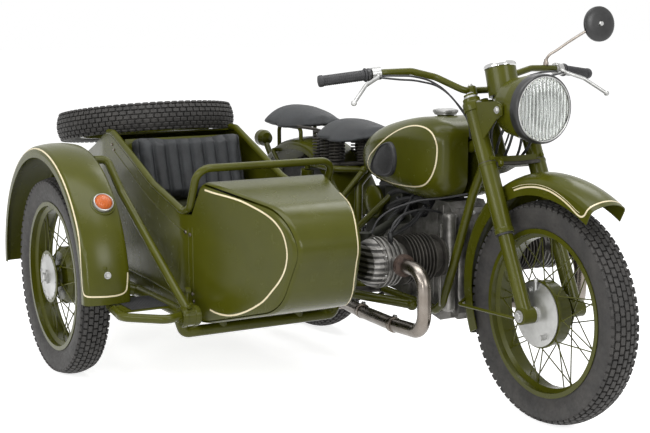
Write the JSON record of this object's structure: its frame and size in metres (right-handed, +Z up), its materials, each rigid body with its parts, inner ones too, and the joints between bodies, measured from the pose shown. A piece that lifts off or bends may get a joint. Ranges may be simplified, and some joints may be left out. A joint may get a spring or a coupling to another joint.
{
  "type": "sidecar motorcycle",
  "caption": "Vintage motorcycle with a sidecar on its right, opposed cylinders, spoked wheels, spare wheel on the sidecar tail and folding passenger backrest.",
  "frame": {"origin": "middle of the bounding box, on the ground", "axes": "+X forward, +Y to the left, +Z up"},
  "size_m": [2.3968, 1.7222, 1.256],
  "materials": {
    "green_paint": "gloss",
    "cast_alloy": "cast",
    "dark_iron": "rough",
    "steel": "satin",
    "black_leather": "satin",
    "black_rubber": "matt",
    "tyre_rubber": "matt",
    "lamp_glass": "clear",
    "black_plastic": "matt",
    "amber_plastic": "gloss",
    "red_plastic": "gloss"
  },
  "bodies": {
    "chassis": {"frame": "green_paint", "swing_arm": "green_paint", "rear_shocks": "green_paint", "engine_case": "cast_alloy", "gearbox": "cast_alloy", "cylinders": "dark_iron", "cylinder_heads": "cast_alloy", "intake": "green_paint", "exhaust": "steel", "fuel_tank": "green_paint", "knee_pads": "black_rubber", "driver_saddle": "black_leather", "passenger_saddle": "black_leather", "saddle_springs": "steel", "rear_fender": "green_paint", "tail_lamp": "red_plastic", "foot_controls": "steel", "sidecar_frame": "green_paint", "sidecar_body": "green_paint", "sidecar_rail": "green_paint", "sidecar_seat": "black_leather", "sidecar_fender": "green_paint", "sidecar_lamp": "amber_plastic", "sidecar_step": "green_paint", "spare_tyre": "tyre_rubber", "spare_rim": "green_paint", "spare_hub": "green_paint"},
    "steering": {"fork": "green_paint", "handlebar": "green_paint", "grips": "black_rubber", "levers": "cast_alloy", "headlamp": "green_paint", "headlamp_lens": "lamp_glass", "mirror": "black_plastic", "front_fender": "green_paint", "front_brake_plate": "cast_alloy"},
    "front_wheel": {"front_tyre": "tyre_rubber", "front_rim": "green_paint", "front_hub": "green_paint"},
    "rear_wheel": {"rear_tyre": "tyre_rubber", "rear_rim": "green_paint", "rear_hub": "green_paint"},
    "sidecar_wheel": {"sidecar_tyre": "tyre_rubber", "sidecar_rim": "green_paint", "sidecar_hub": "cast_alloy"},
    "backrest": {"backrest_board": "green_paint", "sidecar_backrest": "black_leather"}
  },
  "joints": [
    {"name": "steering_turn", "type": "hinge", "parent": "chassis", "child": "steering", "pos_m": [0.8041, 0.31092, 0.31464], "axis": [-0.4226, 0, 0.9063], "range_deg": [-35, 35]},
    {"name": "front_wheel_spin", "type": "hinge", "parent": "steering", "child": "front_wheel", "pos_m": [0.85848, 0.31092, 0.34], "axis": [0, 1, 0], "continuous": true},
    {"name": "rear_wheel_spin", "type": "hinge", "parent": "chassis", "child": "rear_wheel", "pos_m": [-0.59152, 0.31092, 0.34], "axis": [0, 1, 0], "continuous": true},
    {"name": "sidecar_wheel_spin", "type": "hinge", "parent": "chassis", "child": "sidecar_wheel", "pos_m": [-0.41652, -0.78308, 0.34], "axis": [0, 1, 0], "continuous": true},
    {"name": "backrest_fold", "type": "hinge", "parent": "chassis", "child": "backrest", "pos_m": [-0.44152, -0.28908, 0.525], "axis": [0, 1, 0], "range_deg": [0, 50]}
  ]
}
